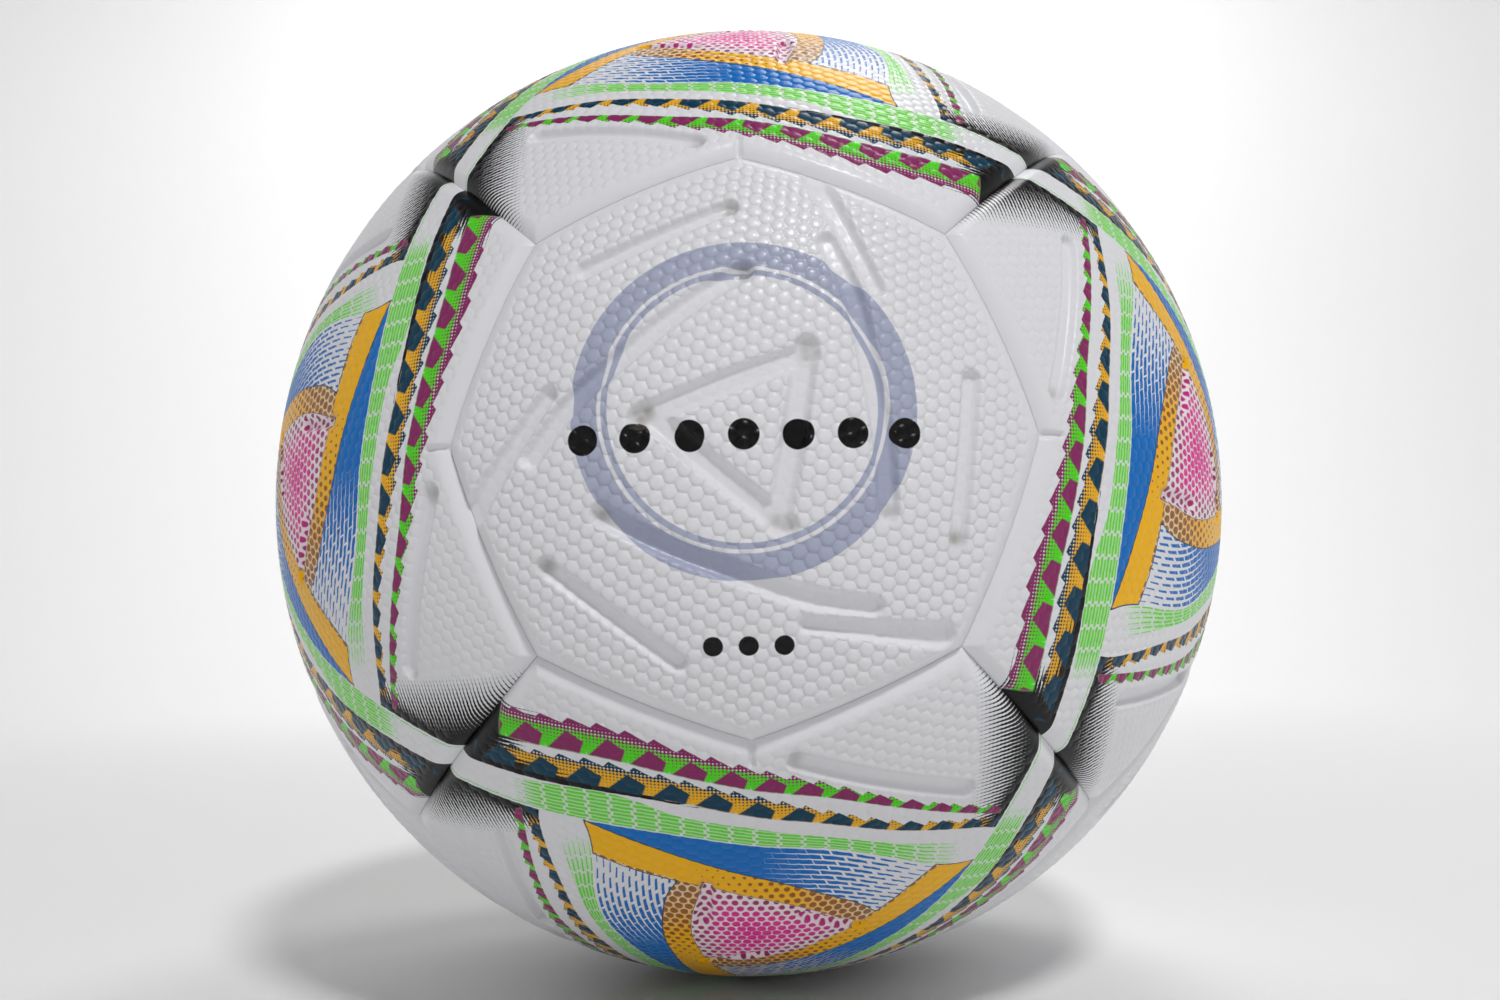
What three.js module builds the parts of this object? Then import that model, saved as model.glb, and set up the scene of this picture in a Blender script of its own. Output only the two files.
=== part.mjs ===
// Size 5 soccer ball with thermally bonded panels. Millimetres, +Z up.
//
// The origin is the centre of the ball. The front octagon faces -Y and the valve is at +Y,
// in the middle of the back octagon. From the outside in, the ball is made of:
//   cover    6 octagon and 8 triangle panels, each a thin polyurethane shell
//   foam     one foam backing under each cover panel
//   carcass  a textile shell that all the panels are bonded to
//   bladder  a rubber shell that holds the air
//   valve    a flanged rubber housing through every layer, with a soft core in its bore
//
// The panels follow a cube. An octagon sits over each face of the cube and a triangle over
// each corner, and two octagons' nearest corners are joined by a short seam over each edge.

import * as THREE from "three";

// Ball
const BALL_RADIUS = 110;

// Layers, outside in
const COVER_THICKNESS = 1.8;
const FOAM_THICKNESS = 3;
const CARCASS_THICKNESS = 0.8;
const BLADDER_THICKNESS = 0.8;
const LAYER_GAP = 0.3;

// Seams between panels, whose edges roll down into a groove
const SEAM_GAP = 0.3;
const ROLL_WIDTH = 1.9;
const ROLL_DEPTH = 1.2;

// Panel outlines: every corner of an octagon lies at this angle from the octagon's middle
const OCTAGON_ANGLE = THREE.MathUtils.degToRad(28.2);

// Valve
const VALVE_HOLE_RADIUS = 4.9;
const STEM_RADIUS = 4.2;
const STEM_RECESS = 0.4;
const FLANGE_RADIUS = 9;
const FLANGE_THICKNESS = 1.8;
const BORE_RADIUS = 2.6;
const CORE_RADIUS = 2.3;
const CORE_RECESS = 1;
const NEEDLE_RADIUS = 0.6;
const NEEDLE_FUNNEL = 0.9;

// Facets
const OCTAGON_SIDE_STEPS = 2;
const SHORT_SEAM_STEPS = 4;
const OCTAGON_RINGS = 3;
const TRIANGLE_RINGS = 4;
const SHELL_STEPS = 12;
const SHELL_SEGMENTS = 24;
const VALVE_SEGMENTS = 24;
const FACET_SAG = 1.1; // the most that a flat facet dips inside the sphere through its corners

// Where the layers lie
const COVER_INNER = BALL_RADIUS - COVER_THICKNESS;
const FOAM_OUTER = COVER_INNER - LAYER_GAP;
const FOAM_INNER = FOAM_OUTER - FOAM_THICKNESS;
const CARCASS_OUTER = FOAM_INNER - FACET_SAG - LAYER_GAP;
const CARCASS_INNER = CARCASS_OUTER - CARCASS_THICKNESS;
const BLADDER_OUTER = CARCASS_INNER - LAYER_GAP;
const BLADDER_INNER = BLADDER_OUTER - BLADDER_THICKNESS;

const MATERIALS = {
  whiteCover: { color: "#e9e9ec", roughness: 0.38, metalness: 0 },
  printedCover: { color: "#f2a20d", roughness: 0.38, metalness: 0 },
  foam: { color: "#f1ead8", roughness: 0.95, metalness: 0 },
  carcass: { color: "#cfd3d6", roughness: 0.9, metalness: 0 },
  bladder: { color: "#1b1b1d", roughness: 0.6, metalness: 0 },
  valve: { color: "#232326", roughness: 0.55, metalness: 0 },
  core: { color: "#3a3a3e", roughness: 0.7, metalness: 0 },
};

function namedMesh(name, geometry, look) {
  const mesh = new THREE.Mesh(geometry, new THREE.MeshStandardMaterial(MATERIALS[look]));
  mesh.name = name;
  return mesh;
}

// ---- Directions on the sphere ----

// The direction a given angle away from `pole`, towards `towards`, for two unit vectors.
function lean(pole, towards, angle) {
  const side = towards.clone().addScaledVector(pole, -towards.dot(pole)).normalize();
  return pole.clone().multiplyScalar(Math.cos(angle)).addScaledVector(side, Math.sin(angle));
}

// The direction at `share` of the great-circle arc from `from` to `to`.
function alongArc(from, to, share) {
  return lean(from, to, share * from.angleTo(to));
}

// A closed outline through the given corners, with `steps(i)` equal steps after corner i.
function outlineThrough(corners, steps) {
  return corners.flatMap((corner, i) => {
    const next = corners[(i + 1) % corners.length];
    const count = steps(i);
    return Array.from({ length: count }, (_, k) => (k ? alongArc(corner, next, k / count) : corner));
  });
}

// The outline moved in by `distance` on the ball's surface, with mitred corners.
function inset(outline, distance) {
  const count = outline.length;
  const edgeNormals = outline.map((point, i) => point.clone().cross(outline[(i + 1) % count]).normalize());
  return outline.map((point, i) => {
    const before = edgeNormals[(i + count - 1) % count];
    const after = edgeNormals[i];
    const mitre = before.clone().add(after).divideScalar(1 + before.dot(after));
    return point.clone().addScaledVector(mitre, distance / BALL_RADIUS).normalize();
  });
}

// ---- Panel outlines, anticlockwise seen from outside ----

const X = new THREE.Vector3(1, 0, 0);
const Y = new THREE.Vector3(0, 1, 0);
const Z = new THREE.Vector3(0, 0, 1);
const CUBE_CORNER = new THREE.Vector3(1, 1, 1).normalize();

// The octagon over the cube's +Z face. Even corners point to the neighbouring octagons.
function octagonOutline() {
  const corners = Array.from({ length: 8 }, (_, k) => {
    const turn = (k * Math.PI) / 4;
    return lean(Z, new THREE.Vector3(Math.cos(turn), Math.sin(turn), 0), OCTAGON_ANGLE);
  });
  return outlineThrough(corners, () => OCTAGON_SIDE_STEPS);
}

// The triangle over the cube's (1, 1, 1) corner: around each of its three octagons come a
// corner, the middle corner nearest the triangle, and a corner, then the short seam.
function triangleOutline() {
  const corners = [[X, Z, Y], [Y, X, Z], [Z, Y, X]].flatMap(([face, previous, next]) => [
    lean(face, previous, OCTAGON_ANGLE),
    lean(face, CUBE_CORNER, OCTAGON_ANGLE),
    lean(face, next, OCTAGON_ANGLE),
  ]);
  return outlineThrough(corners, (i) => (i % 3 === 2 ? SHORT_SEAM_STEPS : OCTAGON_SIDE_STEPS));
}

// ---- Solids ----

// A closed surface over loops of equally many points, the first half of them outside and
// the rest inside. The two ends close onto a pole each, or, with no poles, the last loop
// joins the first one. The inside's facets are split the same way as the outside's, so that
// they are parallel, and so are the facets of the layers that lie next to each other.
function solidFromLoops(loops, poles) {
  const count = loops[0].length;
  const points = loops.flat();
  const faces = [];
  const bands = poles ? loops.length - 1 : loops.length;
  for (let band = 0; band < bands; band++) {
    const near = band * count;
    const far = ((band + 1) % loops.length) * count;
    const isInside = band > (loops.length - 1) / 2;
    for (let i = 0; i < count; i++) {
      const next = (i + 1) % count;
      if (isInside) {
        faces.push(near + i, far + i, near + next, far + i, far + next, near + next);
      } else {
        faces.push(near + i, far + i, far + next, near + i, far + next, near + next);
      }
    }
  }
  if (poles) {
    const lastLoop = points.length - count;
    points.push(...poles);
    for (let i = 0; i < count; i++) {
      const next = (i + 1) % count;
      faces.push(points.length - 2, i, next);
      faces.push(points.length - 1, lastLoop + next, lastLoop + i);
    }
  }
  const geometry = new THREE.BufferGeometry().setFromPoints(points);
  geometry.setIndex(faces);
  geometry.computeVertexNormals();
  return geometry;
}

// One layer of one panel: a shell between two radii, with side walls that point at the
// ball's centre. `roll` gives a cover's edge its roll down into the seam, and `hole` leaves
// an opening for the valve in the middle.
function panelLayer({ middle, outline, rings, outer, inner, roll = false, hole = false }) {
  const edge = inset(outline, SEAM_GAP / 2);
  const shoulder = roll ? inset(outline, SEAM_GAP / 2 + ROLL_WIDTH) : edge;
  const holeAngle = VALVE_HOLE_RADIUS / BALL_RADIUS;
  const ringTowards = (rim, share, radius) =>
    rim.map((direction) => {
      const start = hole ? lean(middle, direction, holeAngle) : middle;
      return alongArc(start, direction, share).multiplyScalar(radius);
    });
  const firstRing = hole ? 0 : 1;
  const loops = [];
  for (let ring = firstRing; ring <= rings; ring++) {
    loops.push(ringTowards(shoulder, ring / rings, outer));
  }
  if (roll) {
    loops.push(ringTowards(edge, 1, outer - ROLL_DEPTH));
  }
  for (let ring = rings; ring >= firstRing; ring--) {
    loops.push(ringTowards(edge, ring / rings, inner));
  }
  const poles = [middle.clone().multiplyScalar(outer), middle.clone().multiplyScalar(inner)];
  return solidFromLoops(loops, hole ? null : poles);
}

// A round shell about the valve's axis, open only where the valve passes through it.
function roundShell(outer, inner) {
  const holeAngle = VALVE_HOLE_RADIUS / BALL_RADIUS;
  const bottom = -Math.PI / 2;
  const rim = Math.PI / 2 - holeAngle;
  const profile = new THREE.Path();
  profile.absarc(0, 0, outer, bottom, rim, false);
  profile.absarc(0, 0, inner, rim, bottom, true);
  return new THREE.LatheGeometry(profile.getPoints(SHELL_STEPS / 2), SHELL_SEGMENTS);
}

// A ring turned about the valve's axis from a closed outline of [radius, height] corners.
function turnedRing(corners) {
  const outline = [...corners, corners[0]].map(([radius, height]) => new THREE.Vector2(radius, height));
  return new THREE.LatheGeometry(outline, VALVE_SEGMENTS);
}

// ---- The ball's parts ----

// Each panel's name and its turn, in right angles, away from the one that its outline shows.
const OCTAGONS = [
  { name: "front", aboutX: 0, aboutY: 0 },
  { name: "back", aboutX: 2, aboutY: 0 },
  { name: "upper_right", aboutX: 0, aboutY: 1 },
  { name: "lower_left", aboutX: 0, aboutY: -1 },
  { name: "upper_left", aboutX: -1, aboutY: 0 },
  { name: "lower_right", aboutX: 1, aboutY: 0 },
];
const TRIANGLES = [
  { name: "front_top", aboutX: 0, aboutZ: 0 },
  { name: "front_left", aboutX: 0, aboutZ: 1 },
  { name: "front_bottom", aboutX: 0, aboutZ: 2 },
  { name: "front_right", aboutX: 0, aboutZ: 3 },
  { name: "back_right", aboutX: 2, aboutZ: 0 },
  { name: "back_top", aboutX: 2, aboutZ: 1 },
  { name: "back_left", aboutX: 2, aboutZ: 2 },
  { name: "back_bottom", aboutX: 2, aboutZ: 3 },
];

// A panel's cover and foam meshes, turned to their place on the cube.
function panelMeshes(shape, look, name, { aboutX = 0, aboutY = 0, aboutZ = 0 }) {
  const cover = panelLayer({ ...shape, outer: BALL_RADIUS, inner: COVER_INNER, roll: true });
  const foam = panelLayer({ ...shape, outer: FOAM_OUTER, inner: FOAM_INNER });
  const meshes = [namedMesh(`cover_${name}`, cover, look), namedMesh(`foam_${name}`, foam, "foam")];
  const quarter = Math.PI / 2;
  for (const mesh of meshes) {
    mesh.rotation.set(aboutX * quarter, aboutY * quarter, aboutZ * quarter, "ZYX");
  }
  return meshes;
}

function panels() {
  const group = new THREE.Group();
  const octagon = { middle: Z, outline: octagonOutline(), rings: OCTAGON_RINGS };
  const triangle = { middle: CUBE_CORNER, outline: triangleOutline(), rings: TRIANGLE_RINGS };
  for (const place of OCTAGONS) {
    const shape = { ...octagon, hole: place.name === "back" };
    group.add(...panelMeshes(shape, "whiteCover", `octagon_${place.name}`, place));
  }
  for (const place of TRIANGLES) {
    group.add(...panelMeshes(triangle, "printedCover", `triangle_${place.name}`, place));
  }
  // The cube's +Z face turns to the front, and the cube stands on one of its edges.
  group.rotation.set(Math.PI / 2, 0, Math.PI / 4);
  return group;
}

function carcass() {
  return namedMesh("carcass", roundShell(CARCASS_OUTER, CARCASS_INNER), "carcass");
}

function bladder() {
  return namedMesh("bladder", roundShell(BLADDER_OUTER, BLADDER_INNER), "bladder");
}

// The flange lies just inside the bladder, and the stem ends a little below the cover.
const STEM_TOP = BALL_RADIUS - STEM_RECESS;
const FLANGE_TOP = Math.sqrt(BLADDER_INNER ** 2 - FLANGE_RADIUS ** 2) - FACET_SAG - LAYER_GAP;
const FLANGE_BOTTOM = FLANGE_TOP - FLANGE_THICKNESS;

function valveHousing() {
  const ring = turnedRing([
    [BORE_RADIUS, FLANGE_BOTTOM],
    [FLANGE_RADIUS, FLANGE_BOTTOM],
    [FLANGE_RADIUS, FLANGE_TOP],
    [STEM_RADIUS, FLANGE_TOP],
    [STEM_RADIUS, STEM_TOP],
    [BORE_RADIUS, STEM_TOP],
  ]);
  return namedMesh("valve_housing", ring, "valve");
}

// A soft plug with a funnel that leads the inflating needle into a narrow channel.
function valveCore() {
  const top = STEM_TOP - CORE_RECESS;
  const ring = turnedRing([
    [NEEDLE_RADIUS, FLANGE_BOTTOM],
    [CORE_RADIUS, FLANGE_BOTTOM],
    [CORE_RADIUS, top],
    [NEEDLE_RADIUS + NEEDLE_FUNNEL, top],
    [NEEDLE_RADIUS, top - NEEDLE_FUNNEL],
  ]);
  return namedMesh("valve_core", ring, "core");
}

const ball = new THREE.Group();
ball.add(panels(), carcass(), bladder(), valveHousing(), valveCore());

export default ball;
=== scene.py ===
"""Soccer ball: bonded octagon and triangle panels on foam, a carcass, a bladder and a valve.

The panels follow a cube: an octagon over each face and a triangle over each corner. Lengths
are millimetres on the ball's surface and angles degrees, until a mesh is made in metres.
"""

import math

import bpy
import numpy as np
from mathutils import Matrix, Vector
from mathutils.geometry import delaunay_2d_cdt


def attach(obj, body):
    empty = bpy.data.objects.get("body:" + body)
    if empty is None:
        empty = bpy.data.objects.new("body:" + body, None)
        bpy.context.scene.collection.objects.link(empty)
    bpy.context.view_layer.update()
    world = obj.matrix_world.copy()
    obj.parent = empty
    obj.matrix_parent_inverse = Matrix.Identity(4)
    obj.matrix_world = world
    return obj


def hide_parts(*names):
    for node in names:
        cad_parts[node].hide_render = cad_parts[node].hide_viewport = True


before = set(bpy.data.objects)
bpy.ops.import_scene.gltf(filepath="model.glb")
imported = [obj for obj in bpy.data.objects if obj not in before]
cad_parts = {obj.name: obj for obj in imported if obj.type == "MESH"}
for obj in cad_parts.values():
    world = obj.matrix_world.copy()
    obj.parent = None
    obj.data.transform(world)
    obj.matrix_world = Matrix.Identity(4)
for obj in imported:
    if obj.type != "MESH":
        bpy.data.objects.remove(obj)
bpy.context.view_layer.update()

# ---- Sizes, the same as the CAD model's ----
MM = 0.001
BALL = 110.0
COVER_INNER = 108.2
FOAM_OUTER = 107.9
FOAM_INNER = 104.9
CARCASS_OUTER = 103.5
CARCASS_INNER = 102.7
BLADDER_OUTER = 102.4
BLADDER_INNER = 101.6
VALVE_HOLE = 4.9
STEM = 4.2
STEM_TOP = 109.6
FLANGE = 9.0
FLANGE_TOP = 99.8
FLANGE_BOTTOM = 98.0
BORE = 2.6
CORE = 2.3
CORE_TOP = 108.6
NEEDLE = 0.6
FUNNEL = 0.9
OCTAGON_ANGLE = math.radians(28.2)
DEGREE = BALL * math.pi / 180

# ---- Surface ----
SEAM_HALF = 0.02
ROLL_WIDTH = 2.8
ROLL_DEPTH = 1.5
ROLL_POWER = 1.7
EDGE_ROWS = (0.02, 0.2, 0.44, 0.74, 1.1, 1.5, 1.94, 2.38)
BUMP_PITCH = 2.57
BUMP_HEIGHT = 0.15
BUMP_SHADE = 0.16
BUMP_STEPS = 6
OCTAGON_BUMP_TURN = 23
TRIANGLE_BUMP_TURN = 35
CHANNEL_DEPTH = 1.4
DEEPEST = -1.6
CHANNEL_FLOOR = 0.42
PIT_DEPTH = 0.45
PIT_RADIUS = 0.9
# Millimetres over which the painted shade around each pit fades.
PIT_SHADE_RADIUS = 1.3
PRINTED_BUMPS = 0.6
FOAM_EDGE_DROP = 0.5
FOAM_EDGE_WIDTH = 1.2
FOAM_SPACING = 1.6
FOAM_EDGE_ROWS = (0.15, 0.6, 1.3)

X = np.array([1.0, 0.0, 0.0])
Y = np.array([0.0, 1.0, 0.0])
Z = np.array([0.0, 0.0, 1.0])


# ---- Directions on the sphere ----


def unit(vectors):
    return vectors / np.linalg.norm(vectors, axis=-1, keepdims=True)


CUBE_CORNER = unit(X + Y + Z)


def lean(pole, towards, angle):
    """The direction an angle away from pole, towards another direction."""
    side = unit(towards - pole * (towards @ pole))
    return pole * math.cos(angle) + side * math.sin(angle)


class FlatMap:
    """A panel laid flat: millimetres right and up from its middle, true along each ray."""

    def __init__(self, middle, right):
        self.middle = middle
        self.right = unit(right - middle * (right @ middle))
        self.up = np.cross(self.middle, self.right)

    def flatten(self, directions):
        x = directions @ self.right
        y = directions @ self.up
        sine = np.maximum(np.hypot(x, y), 1e-12)
        stretch = BALL * np.arctan2(sine, directions @ self.middle) / sine
        return np.c_[x * stretch, y * stretch]

    def directions(self, flat):
        reach = np.hypot(flat[:, 0], flat[:, 1])
        spread = np.sin(reach / BALL) / np.maximum(reach, 1e-12)
        sideways = flat[:, :1] * self.right + flat[:, 1:] * self.up
        return np.cos(reach / BALL)[:, None] * self.middle + spread[:, None] * sideways


class Outline:
    """A panel's corners, its sides' great circles, and the convex groups the sides make."""

    def __init__(self, corners, groups):
        self.corners = np.array(corners)
        following = np.roll(self.corners, -1, axis=0)
        self.normals = unit(np.cross(self.corners, following))
        self.groups = groups

    def depth(self, directions):
        """Millimetres inside the outline, negative outside."""
        sides = BALL * np.arcsin(np.clip(directions @ self.normals.T, -1, 1))
        return np.min([sides[:, group].max(axis=1) for group in self.groups], axis=0)

    def row(self, depth, step):
        """Points about step apart along a line that stays depth inside the outline."""
        sine = math.sin(depth / BALL)
        before = np.roll(self.normals, 1, axis=0)
        opening = 1 + (before * self.normals).sum(axis=1)
        inward = sine * (before + self.normals) / opening[:, None]
        rest = np.sqrt(1 - (inward**2).sum(axis=1))
        mitred = inward + self.corners * rest[:, None]
        points = []
        for start, end, normal in zip(mitred, np.roll(mitred, -1, axis=0), self.normals):
            along = unit(start - sine * normal)
            across = np.cross(normal, along)
            turn = math.atan2(end @ across, end @ along)
            count = max(1, round(turn * BALL / step))
            angle = (np.arange(count) * turn / count)[:, None]
            circle = np.cos(angle) * along + np.sin(angle) * across
            points.append(sine * normal + math.sqrt(1 - sine**2) * circle)
        return np.concatenate(points)


def octagon_outline():
    turns = [k * math.pi / 4 for k in range(8)]
    corners = [lean(Z, np.array([math.cos(t), math.sin(t), 0]), OCTAGON_ANGLE) for t in turns]
    return Outline(corners, [[k] for k in range(8)])


def triangle_outline():
    """Three octagons' corners around the cube's corner, joined by the short seams."""
    corners = []
    for face, previous, following in ((X, Z, Y), (Y, X, Z), (Z, Y, X)):
        for towards in (previous, CUBE_CORNER, following):
            corners.append(lean(face, towards, OCTAGON_ANGLE))
    return Outline(corners, [[0, 1], [2], [3, 4], [5], [6, 7], [8]])


OCTAGON = octagon_outline()
TRIANGLE = triangle_outline()
OCTAGON_MAP = FlatMap(Z, unit(X - Y))
TRIANGLE_MAP = FlatMap(CUBE_CORNER, unit(X - Y))


# ---- Flat grids and curves ----


def turned(points, degrees):
    """Flat points turned anticlockwise."""
    cosine = math.cos(math.radians(degrees))
    sine = math.sin(math.radians(degrees))
    return points @ np.array([[cosine, sine], [-sine, cosine]])


def grid(pitch, turn, reach):
    """A triangular grid of flat points, one row of which is turned by turn degrees."""
    count = int(1.2 * reach / pitch) + 1
    i, j = np.mgrid[-count : count + 1, -count : count + 1]
    points = np.c_[(i + j / 2).ravel(), (j * math.sqrt(3) / 2).ravel()] * pitch
    points = points[np.hypot(points[:, 0], points[:, 1]) < reach]
    return turned(points, turn)


def to_nearest(points, pitch, turn):
    """Distance from each point to the nearest point of that grid."""
    straight = turned(points, -turn) / pitch
    j = straight[:, 1] / (math.sqrt(3) / 2)
    i = straight[:, 0] - j / 2
    best = np.full(len(points), 9.0)
    for up_i in (0, 1):
        for up_j in (0, 1):
            near_i = np.floor(i) + up_i
            near_j = np.floor(j) + up_j
            x = near_i + near_j / 2 - straight[:, 0]
            y = near_j * math.sqrt(3) / 2 - straight[:, 1]
            best = np.minimum(best, np.hypot(x, y))
    return best * pitch


def smooth(value, low, high):
    """0 below low, 1 above high, and an even rise between them."""
    share = np.clip((value - low) / (high - low), 0, 1)
    return share * share * (3 - 2 * share)


def curve(*points):
    """A smooth function through points in order of x, straight beyond its ends."""
    xs, ys = np.array(sorted(points)).T
    slopes = np.gradient(ys, xs)

    def value(x):
        k = np.clip(np.searchsorted(xs, x) - 1, 0, len(xs) - 2)
        width = xs[k + 1] - xs[k]
        t = np.clip((x - xs[k]) / width, 0, 1)
        rise = ys[k] * (1 + 2 * t) * (1 - t) ** 2 + ys[k + 1] * t * t * (3 - 2 * t)
        bend = slopes[k] * t * (1 - t) ** 2 - slopes[k + 1] * t * t * (1 - t)
        beyond = slopes[-1] * np.maximum(x - xs[-1], 0) + slopes[0] * np.minimum(x - xs[0], 0)
        return rise + width * bend + beyond

    return value


def rounded_path(points, steps=8):
    """A smooth path through a few flat points."""
    points = np.array(points, float)
    lengths = np.r_[0, np.cumsum(np.linalg.norm(np.diff(points, axis=0), axis=1))]
    along = np.linspace(0, lengths[-1], steps * (len(points) - 1) + 1)
    return np.c_[[curve(*zip(lengths, column))(along) for column in points.T]].T


# ---- Embossing ----


def channel(flat, path, width, end_width=None, depth=CHANNEL_DEPTH):
    """Height of a channel with a flat floor and rounded walls, which may widen as it goes."""
    end_width = width if end_width is None else end_width
    height = np.zeros(len(flat))
    share = np.linspace(0, 1, len(path))
    for k in range(len(path) - 1):
        start = path[k]
        run = path[k + 1] - start
        t = np.clip((flat - start) @ run / (run @ run), 0, 1)
        gap = np.linalg.norm(flat - start - t[:, None] * run, axis=1)
        progress = share[k] + (share[k + 1] - share[k]) * t
        half = (width + (end_width - width) * progress) * 0.5 + 0.1
        height = np.minimum(height, -depth * (1 - smooth(gap / half, CHANNEL_FLOOR, 1)))
    return height


def pit(flat, spot):
    gap = np.linalg.norm(flat - np.array(spot), axis=1)
    return -PIT_DEPTH * np.exp(-((gap / PIT_RADIUS) ** 2))


def painted_pit_shade(flat, spots):
    """How much painted shade lies at a point: darkest at the pits and fading around them."""
    amount = np.zeros(len(flat))
    for spot in spots:
        gap = np.linalg.norm(flat - np.array(spot) * DEGREE, axis=1)
        amount = np.maximum(amount, np.exp(-((gap / PIT_SHADE_RADIUS) ** 2)))
    return amount


def relief(depth, flat, embossing, bump_turn, pit_shade):
    """Where a point lies among the bumps, how clearly they show there, and how much painted shade
    of the pits lies there.
    """
    bumps = np.c_[turned(flat, -bump_turn) / BUMP_PITCH, clear_of_relief(depth, embossing)]
    return {"relief": bumps, "pit_shade": np.c_[pit_shade, pit_shade, pit_shade]}


# In degrees about the octagon's middle, once for each third of a turn. Each straight
# channel has its two ends and its width at each.
OCTAGON_STRAIGHT = (
    (((-14.3, 15.6), (-0.9, 21.3)), 2.1, 1.9),
    (((7.2, 24.6), (12.1, 13.0)), 2.9, 1.8),
)
OCTAGON_OUTER_ARC = ((8.0, 17.4), (9.9, 12.2), (11.2, 5.0), (12.1, -1.3), (12.4, -7.4))
OCTAGON_INNER_ARC = ((-8.4, 1.7), (-3.2, -2.9), (3.4, -8.4))
OUTER_ARC_WIDTH = 2.3
INNER_ARC_WIDTH = 2.6
THIRDS = (0, 120, 240)
OCTAGON_PITS = ((-0.9, 21.3), (12.4, -7.4), (-8.4, 1.7), (3.4, -8.4))


def octagon_embossing(flat):
    height = np.zeros(len(flat))
    for third in THIRDS:
        here = turned(flat, -third)
        for path, width, end_width in OCTAGON_STRAIGHT:
            line = np.array(path) * DEGREE
            made = channel(here, line, width * DEGREE, end_width * DEGREE)
            height = np.minimum(height, made)
        outer = rounded_path(OCTAGON_OUTER_ARC) * DEGREE
        height = np.minimum(height, channel(here, outer, OUTER_ARC_WIDTH * DEGREE))
        inner = rounded_path(OCTAGON_INNER_ARC) * DEGREE
        height = np.minimum(height, channel(here, inner, INNER_ARC_WIDTH * DEGREE))
        for spot in OCTAGON_PITS:
            height += pit(here, np.array(spot) * DEGREE)
    return height


def side_place(directions, face, before, after):
    """Degrees along one side of the triangle, and away from it, about the side's middle."""
    start = unit(face + before)
    end = unit(face + after)
    middle = unit(start + end)
    along = unit(end - start)
    away = np.cross(middle, along)
    x = np.arctan2(directions @ along, directions @ middle)
    y = np.arcsin(np.clip(directions @ away, -1, 1))
    return np.degrees(x), np.degrees(y)


# Each side of the triangle: its octagon, and the octagons at its narrow and its wide end.
SIDES = ((Z, Y, X), (X, Z, Y), (Y, X, Z))
# Each channel has its two ends, its width, and its share of the full depth.
TRIANGLE_CHANNELS = (
    (((-20.3, 1.2), (-4.0, -5.2)), 2.1, 1.0),
    (((4.7, 10.2), (5.4, 17.0)), 1.7, 0.6),
    (((0.0, -7.4), (0.0, -5.0)), 0.6, 0.5),
)
TRIANGLE_PITS = ((-4.0, -5.2),)


def triangle_embossing(directions):
    height = np.zeros(len(directions))
    for side in SIDES:
        here = np.c_[side_place(directions, *side)] * DEGREE
        for path, width, share in TRIANGLE_CHANNELS:
            line = np.array(path) * DEGREE
            made = channel(here, line, width * DEGREE, depth=share * CHANNEL_DEPTH)
            height = np.minimum(height, made)
    return height


def clear_of_relief(depth, embossing):
    """1 where the bumps stand at full height, 0 in the seams, and low in the channels."""
    return smooth(depth, 1.6, 4.6) * (1 - 0.8 * smooth(-embossing, 0.02, 0.7))


def surface_height(depth, flat, embossing, bump_turn, share=1.0):
    """Height over the plain sphere: the rolled edge, the channels and the bumps."""
    inner = np.clip((depth - SEAM_HALF) / (ROLL_WIDTH - SEAM_HALF), 0, 1)
    roll = -ROLL_DEPTH * (1 - inner) ** ROLL_POWER
    away = to_nearest(flat, BUMP_PITCH, bump_turn) / (BUMP_PITCH / 2)
    dome = np.clip(1 - away**3.6, -0.2, 1)
    clear = clear_of_relief(depth, embossing)
    bumps = share * BUMP_HEIGHT * (dome * clear + 0.35 * (1 - clear) - 0.6)
    return np.maximum(roll + embossing + bumps, DEEPEST)


# ---- The print on a triangle, in degrees along and away from a side ----
STRIP_LOW = curve(
    (28.1, -1.3), (21.5, -1.1), (9.3, -0.8), (-1.2, 1.2), (-8, 2.8),
    (-14.8, 4.9), (-19.4, 6.2), (-23.9, 7.8), (-26.2, 9.3),
)
STRIP_TOP = curve(
    (30.4, 1.9), (20.8, 2.7), (16.5, 2.8), (7.9, 3.3), (-0.3, 4.6),
    (-8, 6.0), (-13.5, 8.5), (-17.1, 10.5), (-20.7, 11.9), (-23.5, 12.3),
)
ORANGE_LOW = curve(
    (16.3, 2.7), (9.3, 5.3), (2.5, 8.0), (-3, 10.3), (-7.3, 12.8), (-11.2, 15.8), (-13.5, 18.7),
)
ORANGE_TOP = curve(
    (16.9, 6.8), (12.7, 8.4), (7, 10.0), (4.9, 10.5), (1.3, 11.9),
    (-1.6, 13.0), (-4.4, 14.4), (-7.5, 16.5), (-10.3, 18.9),
)
TEAL_TOP = curve(
    (-20, 6.4), (-13.9, 4.6), (-6.2, 2.1), (-0.3, 0.9), (5.6, -0.5), (12.5, -1.45), (21.5, -1.8),
)
TEAL_BOTTOM = curve(
    (-20, 5.0), (-13.9, 3.3), (-6.2, 0.3), (-0.3, -1.7), (5.6, -3.2), (12.5, -4.5), (21.5, -4.5),
)
TEAL_SOLID = curve((-20, 1.35), (-13.9, 1.3), (-6.2, 1.6), (-0.3, 1.85), (12.5, 2.05), (21.5, 2.1))
PLUM_TOP = curve(
    (-20, 4.2), (-13.9, 1.7), (-6.2, -1.05), (-0.3, -2.2), (5.6, -3.5), (12.5, -4.8), (21.5, -5.1),
)
PLUM_BOTTOM = curve(
    (-20, 3.0), (-13.9, 0.5), (-6.2, -2.9), (-0.3, -4.7), (5.6, -6.5), (12.5, -8.3), (21.5, -8.5),
)
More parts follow.
